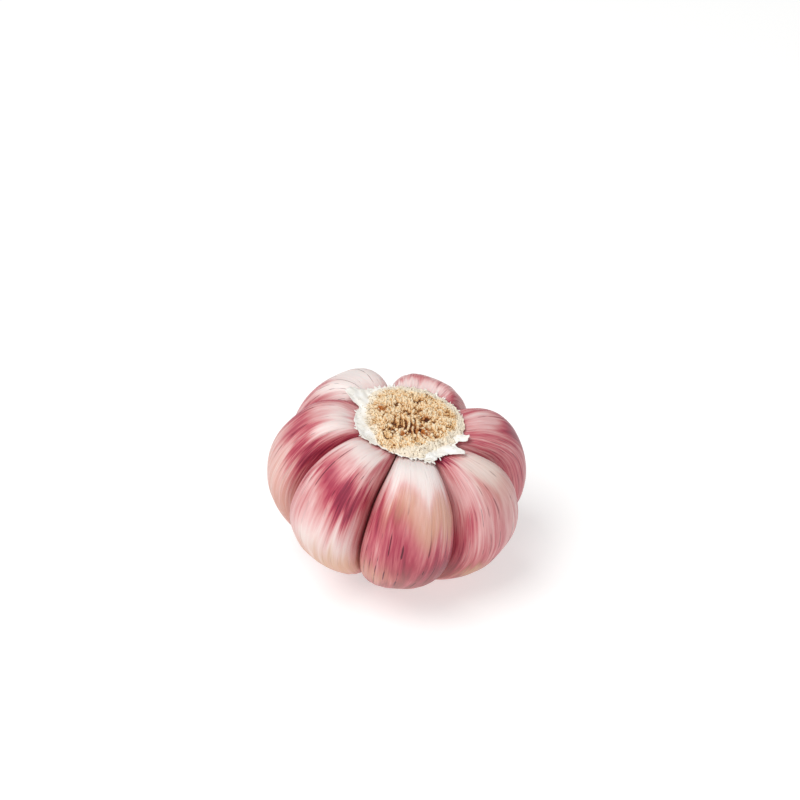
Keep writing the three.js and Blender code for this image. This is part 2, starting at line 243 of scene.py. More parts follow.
def placing():
    """The move from the bulb's own frame in mm to the part's frame in metres, from the boxes of the CAD cloves."""
    lean = Matrix.Rotation(LEAN, 4, Vector((-math.sin(LEAN_TOWARDS), math.cos(LEAN_TOWARDS), 0)))
    sides = [math.pi * k / 12 for k in range(24)]
    shares = [(1 - math.cos(math.pi * ring / 20)) / 2 for ring in range(21)]
    points = [lean @ clove_point(n + 1, share, side) * MM for n in range(7) for share in shares for side in sides]
    boxes = [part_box(f"clove_{n + 1}") for n in range(7)]
    low, high = ([pick(corner[axis] for corner in corners) for axis in range(3)]
                 for pick, corners in ((min, [b[0] for b in boxes]), (max, [b[1] for b in boxes])))
    own_low, own_high = ([pick(p[axis] for p in points) for axis in range(3)] for pick in (min, max))
    shift = Vector((
        (low[0] + high[0] - own_low[0] - own_high[0]) / 2,
        (low[1] + high[1] - own_low[1] - own_high[1]) / 2,
        high[2] - own_high[2],
    ))
    return Matrix.Translation(shift) @ lean @ Matrix.Scale(MM, 4)


def finished(name, bm, material, smooth_faces=True):
    """Moves a mesh in the bulb's own frame to its place, rests it on the surface and makes it a piece."""
    bm.transform(PLACE)
    for vertex in bm.verts:
        vertex.co.z = max(vertex.co.z, 0.0)
    for face in bm.faces:
        face.smooth = smooth_faces
    mesh = bpy.data.meshes.new(name)
    bm.to_mesh(mesh)
    bm.free()
    mesh.materials.append(material)
    piece = bpy.data.objects.new(name, mesh)
    bpy.context.scene.collection.objects.link(piece)
    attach(piece, "root")
    return piece


def add_node(nodes, kind, links=None, **settings):
    """Adds a shader node: settings are its properties or input values, and links join outputs to its inputs."""
    node = nodes.new(kind)
    for key, value in settings.items():
        if hasattr(node, key):
            setattr(node, key, value)
        else:
            node.inputs[int(key[1:]) if key[1:].isdigit() else key.replace("_", " ")].default_value = value
    for key, output in (links or {}).items():
        nodes.id_data.links.new(output, node.inputs[key])
    return node


def clove_stains_and_painted_light(number, across, share):
    """How much pigment, tan and veins the skin has at a place of a clove, painted light and shade included."""
    # Pigment and tan rise towards the tip: partly the skin's own ageing and partly painted shade on each clove's lower
    # half.
    ageing_and_shade = smooth((share - 0.5) / 0.25)
    amounts = {"crimson": CLOVES[number - 1]["pigment"] + 0.12 * ageing_and_shade, "pale": 0.0, "tan": 0.2 * ageing_and_shade, "vein": 0.12}
    # The ends of a stain are torn lengthwise, in teeth some 1.5 and 0.7 mm wide.
    strip = Vector((across * 9, share * 1.5, number * 7))
    teeth = 0.05 * noise.noise(strip) + 0.04 * noise.noise(strip * 2.3)
    for kind, centre, level, half_width, half_length, strength in STAINS_AND_PAINTED_LIGHT[number]:
        spread = ((across - centre) / half_width) ** 2 + ((share + teeth - level) / half_length) ** 2
        amounts[kind] += strength * math.exp(-spread ** 1.9)
    return amounts["crimson"] - amounts["pale"], amounts["tan"], amounts["vein"]


def make_clove(number, skin):
    """One clove: a sphere's rings become its levels from root to tip, and its skin is ribbed lengthwise."""
    bm = bmesh.new()
    bmesh.ops.create_uvsphere(bm, u_segments=168, v_segments=110, radius=1)
    places = []
    for vertex in bm.verts:
        share = round((1 - min(max(vertex.co.z, -1), 1)) / 2, 6)
        side = math.atan2(vertex.co.y, vertex.co.x)
        across = (side if abs(side) < math.pi / 2 else math.copysign(math.pi, side) - side) / (math.pi / 2)
        vertex.co = clove_point(number, share, side)
        places.append((across, share))
    if bm.calc_volume(signed=True) < 0:
        bmesh.ops.reverse_faces(bm, faces=bm.faces)
    bm.normal_update()
    own = Vector((number * 37.0, 0, 0))
    for vertex, (across, share) in zip(bm.verts, places):
        back = smooth((1 - abs(across)) / 0.35)
        fade = smooth(share / 0.06) * smooth((1 - share) / 0.06)
        rib = noise.noise(Vector((across * 10, share * 1.5, 0)) + own)
        swelling = noise.noise(vertex.co * 0.11 + own)
        vertex.co -= vertex.normal * fade * (0.06 + back * (0.16 + 0.13 * rib + 0.24 * (0.4 + swelling)))
    piece = finished(f"clove_{number}_skin", bm, skin)
    record(piece, "skin_place", [(across, share, number) for across, share in places])
    record(piece, "skin_stain_and_painted_light", [clove_stains_and_painted_light(number, across, share) for across, share in places])
    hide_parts(f"clove_{number}")
    return piece


def spun(profile, steps, closed=False):
    """A surface of revolution round the stalk's axis from (radius, height) points: a grid rolled up and joined."""
    points = profile + profile[:1] if closed else profile
    rows = len(points) - 1
    bm = bmesh.new()
    bmesh.ops.create_grid(bm, x_segments=steps, y_segments=rows, size=0.5)
    for vertex in bm.verts:
        radius, height = points[round((vertex.co.y + 0.5) * rows)]
        vertex.co = polar(radius, (vertex.co.x + 0.5) * 2 * math.pi, height)
    bmesh.ops.remove_doubles(bm, verts=bm.verts, dist=1e-4)
    bmesh.ops.recalc_face_normals(bm, faces=bm.faces)
    return bm


def record(piece, name, values):
    """Stores a value for each of a piece's vertices, for its material to read."""
    attribute = piece.data.attributes.new(name, "FLOAT_VECTOR", "POINT")
    attribute.data.foreach_set("vector", [number for value in values for number in value])


def make_root_plate(cork):
    """The corky plate, lumpy and dark between the roots."""
    bm = spun([
        (0, 12.4), (3.2, 12.5), (5.2, 13.2), (7.4, 14.4), (9.0, 15.7), (9.8, 16.0), (9.6, 16.2), (8.3, 16.2),
        (6.2, 16.0), (3.8, 15.9), (0, 15.8),
    ], 120)
    for vertex in bm.verts:
        vertex.co += vertex.co.normalized() * 0.12 * noise.noise(vertex.co * 0.9)
    plate = finished("root_plate_cork", bm, cork)
    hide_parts("root_plate")
    return plate


def round_table(table, azimuth):
    """The radius at an azimuth in degrees, read from a closed table of (azimuth, radius)."""
    following = next((i for i, (turn, _) in enumerate(table) if turn > azimuth % 360), 0)
    (start, low), (stop, high) = table[following - 1], table[following]
    span = (stop - start) % 360
    return low + (high - low) * smooth(((azimuth - start) % 360) / span)


def marks(kind, x, y):
    """How strongly the marks of one kind show at a place of the root crust."""
    amount = 0.0
    for mark, radius, azimuth, size, strength in CRUST_MARKS:
        if mark == kind:
            turn = math.radians(azimuth)
            away = math.hypot(x - radius * math.cos(turn), y - radius * math.sin(turn)) / size
            amount += strength * math.exp(-away * away)
    return amount


def combed(x, y):
    """How far a place lies within the combed patch in front of the crust's middle."""
    return math.exp(-(x / 2.6) ** 2 - ((y + 2.3) / 2.7) ** 2)


def grooves(x, y):
    """How deep the lengthwise grooves of the combed patch are, 1.15 mm apart."""
    row = (x + 0.5 * noise.noise(Vector((x * 0.4, y * 0.4, 3)))) / 1.15
    return min(1.3 * combed(x, y), 1) * (1 - smooth(abs(row - round(row)) / 0.34))


def broad_end(x, y):
    """How far a place is out from the nearest broad root end, 1 at its outline."""
    return min(math.hypot((x - left) / width, (y - front) / length) for left, front, width, length in BROAD_ENDS)


def crust_relief(x, y):
    """How high the root crust stands at a place, from 0 in its pits to 1: clumps of root ends, then their grain."""
    here = Vector((x, y * (0.8 if y > 0 else 0.45), 0))
    bent = here + 0.35 * noise.noise_vector(here * 1.1)
    clumps = noise.voronoi(bent * 0.85)[0]
    ends = noise.voronoi(bent * 1.9)[0]
    relief = 0.12 + 0.3 * smooth((clumps[1] - clumps[0]) / 0.32) + 0.36 * smooth((ends[1] - ends[0]) / 0.3)
    relief += 0.35 * noise.noise(here * 0.7) + 0.4 * noise.noise(here * 4.6)
    relief += 0.08 * smooth((math.hypot(x, y) - 6) / 3)
    relief += (0.7 - relief) * combed(x, y) * 0.7
    out = broad_end(x, y)
    relief += (0.6 - relief) * 0.5 * smooth((1.05 - out) / 0.3) - 0.55 * math.exp(-((out - 1.15) / 0.14) ** 2)
    relief -= 1.1 * marks("pit", x, y) + 1.3 * grooves(x, y)
    return min(max(relief, 0.0), 1.0)


def plate_top(radius):
    """How high the root crust's floor is at a radius."""
    return 16.25 + 0.65 * smooth(radius / 9)


def make_root_crust(roots):
    """The mat of clipped root ends: one rough crust over the plate, which thins out over the skin collar."""
    top = [(k / 100, 1) for k in range(101)]
    under = [(k / 8, 0) for k in reversed(range(9))]
    bm = spun(top + under, 380)
    values = []
    for vertex in bm.verts:
        azimuth = math.degrees(math.atan2(vertex.co.y, vertex.co.x))
        turn = math.radians(azimuth)
        rim = Vector((math.cos(turn) * 6, math.sin(turn) * 6, 9))
        edge = round_table(CRUST_EDGE, azimuth) + 0.35 * noise.noise(rim) + 0.3 * noise.noise(rim * 2.9)
        share = math.hypot(vertex.co.x, vertex.co.y)
        radius = edge * share
        x, y = radius * math.cos(turn), radius * math.sin(turn)
        rolled = smooth((share - 0.82) / 0.18)
        floor = plate_top(radius) * (1 - rolled) + rolled * (shoulder_height(round(edge, 2)) + 0.2)
        relief = crust_relief(x, y) if vertex.co.z > 0.5 else 0
        rough = 0.95 - 0.5 * smooth((share - 0.55) / 0.35)
        rise = relief * rough + 0.25 * (1 - rolled) if vertex.co.z > 0.5 else -0.04 - 0.46 * (1 - rolled)
        chalk = smooth((share - 0.7) / 0.28) + marks("chalk", x, y)
        # The third value is the rust marks plus painted shade between the flat roots of the combed patch.
        values.append((relief, min(chalk, 1.0), marks("rust", x, y) + 0.3 * combed(x, y)))
        vertex.co = (x, y, floor + rise)
    crust = finished("root_crust", bm, roots)
    record(crust, "root_place", values)
    return crust


def root_stubs():
    """Where each clipped root stands, as (radius, azimuth, width, length, lean outwards, lean sideways)."""
    draw = random.Random(11)
    golden_angle = math.pi * (3 - math.sqrt(5))
    stubs = []
    for i in range(170):
        radius = 8.3 * math.sqrt((i + 0.5) / 170) + draw.uniform(-0.5, 0.5)
        azimuth = i * golden_angle + draw.uniform(-0.2, 0.2)
        width = draw.uniform(0.16, 0.42)
        length = draw.uniform(0.6, 1.7)
        stubs.append((abs(radius), azimuth, width, length, draw.gauss(15 + 4 * radius, 26), draw.gauss(0, 28)))
    # In front of the middle the roots lie flat and long, side by side.
    for i in range(14):
        azimuth = math.radians(-122 + 70 * i / 13) + draw.uniform(-0.05, 0.05)
        stubs.append((draw.uniform(4.6, 6.6), azimuth, draw.uniform(0.24, 0.34), draw.uniform(1.8, 2.8),
                      draw.gauss(72, 8), draw.gauss(0, 8)))
    # Fine pale fibres lie outwards over the margin, most of them on the left.
    for i in range(150):
        azimuth = math.radians(draw.gauss(195, 60))
        stubs.append((draw.uniform(6.4, 10.2), azimuth, draw.uniform(0.07, 0.11), draw.uniform(1.2, 2.4),
                      draw.gauss(84, 4), draw.gauss(0, 14)))
    # Crumbs of dry root lie everywhere, thickest towards the margin.
    for i in range(300):
        radius = 11.0 * draw.random() ** 0.4
        width = draw.uniform(0.07, 0.18)
        stubs.append((radius, draw.uniform(0, 2 * math.pi), width, width * draw.uniform(1.6, 3.5),
                      draw.uniform(0, 90), draw.uniform(-60, 60)))
    # More of them lie over the front margin.
    for i in range(170):
        width = draw.uniform(0.09, 0.2)
        stubs.append((draw.uniform(8.6, 11.7), math.radians(draw.gauss(250, 24)), width,
                      width * draw.uniform(1.2, 2.6), draw.uniform(0, 90), draw.uniform(-60, 60)))
    return stubs


def make_root_mat(roots):
    """The longer clipped roots: blunt irregular stubs that lean every way but mostly outwards, and crumbs."""
    bm = bmesh.new()
    values = []
    batch = 40
    stubs = root_stubs()
    for start in range(0, len(stubs), batch):
        part = bmesh.new()
        for number, (radius, azimuth, width, length, outwards, sideways) in enumerate(stubs[start:start + batch]):
            small = width < 0.21
            tilt = Matrix.Rotation(math.radians(outwards), 4, "Y") @ Matrix.Rotation(math.radians(sideways), 4, "X")
            x, y = radius * math.cos(azimuth), radius * math.sin(azimuth)
            edge = round_table(CRUST_EDGE, math.degrees(azimuth))
            crowded = combed(x, y) > 0.4 or broad_end(x, y) < 1.2 or marks("pit", x, y) > 0.35
            if radius > edge - 0.3 or crowded and length < 1.8:
                continue
            base = plate_top(radius) + 0.15 + 0.6 * crust_relief(x, y) - 0.7 * smooth((radius / edge - 0.82) / 0.18)
            chalk = smooth((radius / edge - 0.7) / 0.28) + marks("chalk", x, y)
            place = Matrix.Rotation(azimuth, 4, "Z") @ Matrix.Translation((radius, 0, base)) @ tilt
            seed = Vector(((start + number) * 3.7, 0, 0))
            for vertex in bmesh.ops.create_icosphere(part, subdivisions=1 if small else 2, radius=1)["verts"]:
                level = vertex.co.z
                lumps = 1 + 0.8 * noise.noise(vertex.co * 1.4 + seed)
                thickness = width * (1.1 - 0.25 * level) * lumps
                height = 0.5 * length * math.copysign(abs(level) ** 0.65, level) * (0.75 + 0.25 * lumps)
                # A stub is darker at its foot and paler at its cut end: partly the root's own tone and partly painted
                # shade where it meets the crust.
                values.append((0.55 + 0.45 * level, min(chalk, 1.0), 0.6 * marks("rust", x, y)))
                vertex.co = place @ Vector((vertex.co.x * thickness, vertex.co.y * thickness, height + 0.1 * length))
        mesh = bpy.data.meshes.new("batch")
        part.to_mesh(mesh)
        part.free()
        bm.from_mesh(mesh)
        bpy.data.meshes.remove(mesh)
    mat = finished("clipped_roots", bm, roots)
    record(mat, "root_place", values)
    return mat


def make_skin_collar(paper):
    """The torn edge of the wrapper skins round the root plate, thick by the plate and thin at its ragged rim."""
    across = [0, 0.15, 0.3, 0.42, 0.54, 0.64, 0.73, 0.81, 0.88, 0.94, 1.0]
    bm = spun([(2 + s, 0) for s in across] + [(2 + s, 1) for s in reversed(across)], 480, closed=True)
    for vertex in bm.verts:
        azimuth = math.degrees(math.atan2(vertex.co.y, vertex.co.x)) % 360
        turn = math.radians(azimuth)
        share = math.hypot(vertex.co.x, vertex.co.y) - 2
        top = vertex.co.z
        lift = sum(height * math.exp(-(((azimuth - middle + 180) % 360 - 180) / width) ** 2)
                   for middle, width, height in FLAPS)
        rim = Vector((math.cos(turn) * 4, math.sin(turn) * 4, 3.0))
        ragged = 0.25 * noise.noise(rim * 2.3) + 0.3 * noise.noise(rim * 5.1) + 0.22 * noise.noise(rim * 11.3)
        inner = 9.4
        outer = round_table(COLLAR_RIM, azimuth) + ragged
        radius = inner + (outer - inner) * share
        thickness = 0.14 + 0.7 * (1 - smooth(share / 0.7))
        height = shoulder_height(round(radius, 2)) + 0.14 + lift * share * share
        height += 0.3 * noise.noise(polar(radius, turn, 0) * 0.9) * smooth(share / 0.5)
        vertex.co = polar(radius, turn, height + top * thickness)
    collar = finished("torn_skin_collar", bm, paper)
    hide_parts("skin_collar")
    return collar


def skin_fibres():
    """Where the torn fibres lie, as (azimuth, length, half width, sideways sweep, lift of the end in mm)."""
    draw = random.Random(23)
    fibres = []
    # Long ones hang over the clove in front, and short ones soften the rim all round.
    for i in range(14):
        fibres.append((draw.gauss(283, 8), draw.uniform(1.4, 2.9), draw.uniform(0.15, 0.42),
                       draw.gauss(0, 0.25), 0.0))
    for i in range(60):
        fibres.append((draw.uniform(0, 360), draw.uniform(1.2, 1.9), draw.uniform(0.12, 0.35),
                       draw.gauss(0, 0.3), draw.uniform(0, 0.1)))
    return fibres


def make_skin_fibres(paper):
    """The fibres that the wrapper skins tore into: thin flat slivers that run on from the collar's rim."""
    bm = bmesh.new()
    for azimuth, length, half_width, sweep, lift in skin_fibres():
        start = round_table(COLLAR_RIM, azimuth) - 1.1
        for vertex in bmesh.ops.create_icosphere(bm, subdivisions=2, radius=1)["verts"]:
            along_it = (vertex.co.x + 1) / 2
            radius = start + length * along_it
            sideways = vertex.co.y * half_width + sweep * length * along_it ** 2
            height = shoulder_height(round(radius, 2)) + 0.2 + 0.05 * vertex.co.z + lift * along_it ** 2
            vertex.co = polar(radius, math.radians(azimuth) + sideways / radius, height)
    return finished("torn_skin_fibres", bm, paper)


def make_stalk(straw):
    """The dried stalk, fluted by its fibres."""
    levels = [11.8 - 31.2 * k / 60 for k in range(61)]
    bm = spun([(0, 11.8)] + [(2.4, z) for z in levels] + [(1.2, -19.0), (0, -18.4)], 72)
    for vertex in bm.verts:
        turn = math.atan2(vertex.co.y, vertex.co.x)
        if math.hypot(vertex.co.x, vertex.co.y) > 0.5:
            groove = 0.07 * math.cos(7 * turn) + 0.2 * noise.noise(Vector((math.cos(turn) * 3, math.sin(turn) * 3,
                                                                          vertex.co.z * 0.12)))
            vertex.co.x *= 1 + 0.6 * groove
            vertex.co.y *= 1 + 0.6 * groove
    stalk = finished("dried_stalk", bm, straw)
    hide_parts("stalk")
    return stalk


def make_neck_sheath(husk):
    """The crumpled dry leaf sheath round the stalk's end."""
    outside = [(1, k / 40) for k in range(41)]
    inside = [(0.9, k / 40) for k in reversed(range(41))]
    bm = spun(outside + inside, 160, closed=True)
    for vertex in bm.verts:
        turn = math.atan2(vertex.co.y, vertex.co.x)
        outer = math.hypot(vertex.co.x, vertex.co.y) > 0.95
        level = vertex.co.z
        rim = Vector((math.cos(turn) * 2.2, math.sin(turn) * 2.2, 0))
        crumple = noise.noise(rim * 1.4 + Vector((0, 0, level * 1.5)))
        end = -19.3 + 0.9 * noise.noise(rim * 2.3)
        radius = 3.55 + 0.5 * crumple * (0.5 + level) + (0.12 if outer else -0.12)
        vertex.co = polar(radius, turn, -9 + (end + 9) * level)
    # The levels run downwards, which turned the faces inside out.
    bmesh.ops.recalc_face_normals(bm, faces=bm.faces)
    sheath = finished("dry_neck_sheath", bm, husk)
    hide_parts("neck_sheath")
    return sheath


def new_material(name):
    """A material with its nodes and its one shader."""
    material = bpy.data.materials.new(name)
    material.use_nodes = True
    nodes = material.node_tree.nodes
    return material, nodes, nodes["Principled BSDF"]


def purple_garlic_skin():
    """Inner skin of purple garlic: a thin satin membrane whose pigment lies in fine streaks along the clove, cream
    where there is none, through pink to crimson, with broken dark veins. Part of the pigment it reads is painted light
    and shade."""
    material, nodes, shader = new_material("purple_garlic_skin")
    links = nodes.id_data.links
    place = add_node(nodes, "ShaderNodeAttribute", attribute_name="skin_place")
    # The stain attribute holds the skin's stains with the painted light and shade among them.
    stain = add_node(nodes, "ShaderNodeAttribute", attribute_name="skin_stain_and_painted_light")
    at = add_node(nodes, "ShaderNodeSeparateXYZ", {0: place.outputs["Vector"]})
    amount = add_node(nodes, "ShaderNodeSeparateXYZ", {0: stain.outputs["Vector"]})
    # A skin is about 14 mm from its middle to its edge. Its streaks are some 15 times longer than wide.
    mm = add_node(nodes, "ShaderNodeVectorMath", {0: place.outputs["Vector"]}, operation="MULTIPLY", _1=(14, 3, 23))
    bands = add_node(nodes, "ShaderNodeTexNoise", {0: mm.outputs[0]}, Scale=0.5, Detail=2, Roughness=0.5)
    streaks = add_node(nodes, "ShaderNodeTexNoise", {0: mm.outputs[0]}, Scale=1.9, Detail=2, Roughness=0.6)
    hairs = add_node(nodes, "ShaderNodeTexNoise", {0: mm.outputs[0]}, Scale=4.6, Detail=2, Roughness=0.6)
    # The streaks and hairs show most where there is pigment, and tear the edges of each stain.
    streaky = add_node(nodes, "ShaderNodeMapRange", {0: streaks.outputs[0]}, _1=0.3, _2=0.7, _3=-0.36, _4=0.36)
    hairy = add_node(nodes, "ShaderNodeMapRange", {0: hairs.outputs[0]}, _1=0.3, _2=0.7, _3=-0.22, _4=0.22)
    banded = add_node(nodes, "ShaderNodeMapRange", {0: bands.outputs[0]}, _1=0.3, _2=0.7, _3=-0.34, _4=0.34)
    fine = add_node(nodes, "ShaderNodeMath", {0: streaky.outputs[0], 1: hairy.outputs[0]}, operation="ADD")
    torn = add_node(nodes, "ShaderNodeMath", {0: fine.outputs[0], 1: banded.outputs[0]}, operation="ADD")
    contrast = add_node(nodes, "ShaderNodeMapRange", {0: amount.outputs[0]}, interpolation_type="SMOOTHSTEP",
                        _1=0.0, _2=0.85, _3=0.09, _4=0.46)
    density = add_node(nodes, "ShaderNodeMath", {0: torn.outputs[0], 1: contrast.outputs[0], 2: amount.outputs[0]},
                       operation="MULTIPLY_ADD")
    colour = add_node(nodes, "ShaderNodeValToRGB", {0: density.outputs[0]})
    stops = [(0.0, "#f4e9e5"), (0.16, "#efd8d4"), (0.32, "#e4b6b5"), (0.48, "#d48f90"), (0.64, "#c4656f"),
             (0.8, "#ad3c52"), (1.0, "#8a2740")]
    while len(colour.color_ramp.elements) < len(stops):
        colour.color_ramp.elements.new(0.5)
    for element, (position, shade) in zip(colour.color_ramp.elements, stops):
        element.position = position
        element.color = linear(shade)
    tan = add_node(nodes, "ShaderNodeMath", {0: amount.outputs[1], 1: streaky.outputs[0]}, operation="MULTIPLY_ADD",
                   _2=0.0)
    links.new(amount.outputs[1], tan.inputs[2])
    tanned = add_node(nodes, "ShaderNodeMix", {0: tan.outputs[0], 6: colour.outputs[0]}, data_type="RGBA",
                      _7=linear("#d8ad8b"))
    # Dark veins every 1.7 mm or so, wavering and broken along their length.
    broken_co = add_node(nodes, "ShaderNodeVectorMath", {0: place.outputs["Vector"]}, operation="MULTIPLY",
                         _1=(8, 19, 31))
    drift = add_node(nodes, "ShaderNodeTexNoise", {0: broken_co.outputs[0]}, Scale=0.25, Detail=1)
    row = add_node(nodes, "ShaderNodeMath", {0: at.outputs[0], 2: drift.outputs[0]}, operation="MULTIPLY_ADD", _1=8.4)
    to_vein = add_node(nodes, "ShaderNodeMath", {0: row.outputs[0]}, operation="PINGPONG", _1=0.5)
    broken = add_node(nodes, "ShaderNodeTexNoise", {0: broken_co.outputs[0]}, Scale=1.0, Detail=1)
    vein_there = add_node(nodes, "ShaderNodeMapRange", {0: broken.outputs[0]}, _1=0.43, _2=0.59)
    # A vein tapers towards its ends, because its edge lies where its strength runs out.
    tapered = add_node(nodes, "ShaderNodeMath", {0: to_vein.outputs[0], 2: vein_there.outputs[0]},
                       operation="MULTIPLY_ADD", _1=-13.0)
    vein = add_node(nodes, "ShaderNodeMapRange", {0: tapered.outputs[0]}, interpolation_type="SMOOTHSTEP",
                    _1=0.0, _2=0.6)
    vein_shown = add_node(nodes, "ShaderNodeMath", {0: vein.outputs[0], 1: amount.outputs[2]}, operation="MULTIPLY")
    veined = add_node(nodes, "ShaderNodeMix", {0: vein_shown.outputs[0], 6: tanned.outputs[2]}, data_type="RGBA",
                      _7=linear("#5e1428"))
    links.new(veined.outputs[2], shader.inputs["Base Color"])
    gloss = add_node(nodes, "ShaderNodeMapRange", {0: streaks.outputs[0]}, _1=0.3, _2=0.7, _3=0.32, _4=0.46)
    links.new(gloss.outputs[0], shader.inputs["Roughness"])
    ribs = add_node(nodes, "ShaderNodeMath", {0: streaks.outputs[0], 1: hairs.outputs[0]}, operation="ADD")
    bump = add_node(nodes, "ShaderNodeBump", {"Height": ribs.outputs[0]}, Strength=0.5, Distance=0.0002)
    links.new(bump.outputs[0], shader.inputs["Normal"])
    shader.inputs["Subsurface Weight"].default_value = 0.1
    shader.inputs["Subsurface Radius"].default_value = (1.0, 0.45, 0.35)
    shader.inputs["Subsurface Scale"].default_value = 0.0012
    shader.inputs["IOR"].default_value = 1.45
    return material


def dry_cork():
    """The root plate itself: dry corky tissue, mottled dark brown to tan in a fine grain, darker where the grain dips.
    """
    material, nodes, shader = new_material("dry_cork")
    where = add_node(nodes, "ShaderNodeTexCoord")
    grain = add_node(nodes, "ShaderNodeTexNoise", {0: where.outputs["Object"]}, Scale=900, Detail=4, Roughness=0.65)
    shade = add_node(nodes, "ShaderNodeMapRange", {0: grain.outputs[0]}, _1=0.35, _2=0.7)
    colour = add_node(nodes, "ShaderNodeMix", {0: shade.outputs[0]}, data_type="RGBA",
                      _6=linear("#5b3a1e"), _7=linear("#b98c5c"))
    nodes.id_data.links.new(colour.outputs[2], shader.inputs["Base Color"])
    bump = add_node(nodes, "ShaderNodeBump", {"Height": grain.outputs[0]}, Strength=0.8, Distance=0.0004)
    nodes.id_data.links.new(bump.outputs[0], shader.inputs["Normal"])
    shader.inputs["Roughness"].default_value = 0.9
    return material


def dry_root_fibre():
    """Clipped dry roots: matt fibrous tan, darker brown the lower a place lies, paler at the cut ends and chalky at the
    margin. The darkening low down is partly the roots' own brown and partly painted shade in the pits and crevices.
    """
    material, nodes, shader = new_material("dry_root_fibre")
    links = nodes.id_data.links
    place = add_node(nodes, "ShaderNodeAttribute", attribute_name="root_place")
    amount = add_node(nodes, "ShaderNodeSeparateXYZ", {0: place.outputs["Vector"]})
    where = add_node(nodes, "ShaderNodeTexCoord")
    # Grain about 0.35 mm across and patches of tone about 3 mm across.
    grain = add_node(nodes, "ShaderNodeTexNoise", {0: where.outputs["Object"]}, Scale=2800, Detail=3, Roughness=0.65)
    patches = add_node(nodes, "ShaderNodeTexNoise", {0: where.outputs["Object"]}, Scale=330, Detail=2)
    specks = add_node(nodes, "ShaderNodeTexNoise", {0: where.outputs["Object"]}, Scale=1600, Detail=3, Roughness=0.6)
    # The crust's relief and each stub's height set the colour, from dark brown low down to pale cream high up: partly
    # the roots' own tone and partly painted shade in the pits and crevices.
    level = add_node(nodes, "ShaderNodeMath", {0: grain.outputs[0], 2: amount.outputs[0]}, operation="MULTIPLY_ADD",
                     _1=1.3)
    toned = add_node(nodes, "ShaderNodeMath", {0: patches.outputs[0], 2: level.outputs[0]}, operation="MULTIPLY_ADD",
                     _1=0.7)
    depth = add_node(nodes, "ShaderNodeMath", {0: toned.outputs[0]}, operation="MULTIPLY_ADD", _1=1 / 1.4,
                     _2=-0.35 / 1.4)
    colour = add_node(nodes, "ShaderNodeValToRGB", {0: depth.outputs[0]})
    stops = [(0.62, "#4a240a"), (0.78, "#a0622a"), (0.94, "#dbaa70"), (1.13, "#efca98"), (1.4, "#fbe7c6")]
    while len(colour.color_ramp.elements) < len(stops):
        colour.color_ramp.elements.new(0.5)
    for element, (position, shade) in zip(colour.color_ramp.elements, stops):
        element.position = position / 1.4
        element.color = linear(shade)
    # Rust gathers between the grains and leaves their tops pale, and painted shade between the flat roots of the
    # combed patch darkens the same way.
    rust_and_shade_edge = add_node(nodes, "ShaderNodeMath", {0: level.outputs[0], 2: amount.outputs[2]},
                         operation="MULTIPLY_ADD", _1=-0.75)
    rust_and_shade_there = add_node(nodes, "ShaderNodeMapRange", {0: rust_and_shade_edge.outputs[0]}, interpolation_type="SMOOTHSTEP",
                          _1=-0.75, _2=0.15, _4=0.95)
    rust_and_shade = add_node(nodes, "ShaderNodeMix", {0: rust_and_shade_there.outputs[0], 6: colour.outputs[0]}, data_type="RGBA",
                     blend_type="MULTIPLY", _7=linear("#c5822f"))
    # The chalk's edge is torn by the patches, and small brown specks lie in it and in the crust alike.
    chalk_edge = add_node(nodes, "ShaderNodeMath", {0: patches.outputs[0], 2: amount.outputs[1]},
                          operation="MULTIPLY_ADD", _1=1.4)
    chalk_there = add_node(nodes, "ShaderNodeMapRange", {0: chalk_edge.outputs[0]}, interpolation_type="SMOOTHSTEP",
                           _1=1.05, _2=1.6, _4=0.85)
    chalky = add_node(nodes, "ShaderNodeMix", {0: chalk_there.outputs[0], 6: rust_and_shade.outputs[2]}, data_type="RGBA",
                      _7=linear("#faf0dd"))
    speck = add_node(nodes, "ShaderNodeMapRange", {0: specks.outputs[0]}, interpolation_type="SMOOTHSTEP",
                     _1=0.43, _2=0.34, _4=0.75)
    specked = add_node(nodes, "ShaderNodeMix", {0: speck.outputs[0], 6: chalky.outputs[2]}, data_type="RGBA",
                       _7=linear("#6f4a20"))
    links.new(specked.outputs[2], shader.inputs["Base Color"])
    bump = add_node(nodes, "ShaderNodeBump", {"Height": grain.outputs[0]}, Strength=0.8, Distance=0.0002)
    links.new(bump.outputs[0], shader.inputs["Normal"])
    shader.inputs["Roughness"].default_value = 0.92
    return material


def papery_white_skin():
    """Torn outer wrapper: several dry paper-thin skins, chalky white, speckled with root dust near the plate."""
    material, nodes, shader = new_material("papery_white_skin")
    where = add_node(nodes, "ShaderNodeTexCoord")
    mottle = add_node(nodes, "ShaderNodeTexNoise", {0: where.outputs["Object"]}, Scale=350, Detail=4, Roughness=0.6)
    dust = add_node(nodes, "ShaderNodeTexNoise", {0: where.outputs["Object"]}, Scale=1500, Detail=2)
    tone = add_node(nodes, "ShaderNodeMapRange", {0: mottle.outputs[0]}, _1=0.35, _2=0.65)
    white = add_node(nodes, "ShaderNodeMix", {0: tone.outputs[0]}, data_type="RGBA",
                     _6=linear("#f2ede3"), _7=linear("#fdfcf9"))
    speck = add_node(nodes, "ShaderNodeMapRange", {0: dust.outputs[0]}, interpolation_type="SMOOTHSTEP",
                     _1=0.62, _2=0.72, _4=0.5)
    dusty = add_node(nodes, "ShaderNodeMix", {0: speck.outputs[0], 6: white.outputs[2]}, data_type="RGBA",
                     _7=linear("#a98f6c"))
    nodes.id_data.links.new(dusty.outputs[2], shader.inputs["Base Color"])
    bump = add_node(nodes, "ShaderNodeBump", {"Height": mottle.outputs[0]}, Strength=0.35, Distance=0.0002)
    nodes.id_data.links.new(bump.outputs[0], shader.inputs["Normal"])
    shader.inputs["Roughness"].default_value = 0.7
    return material


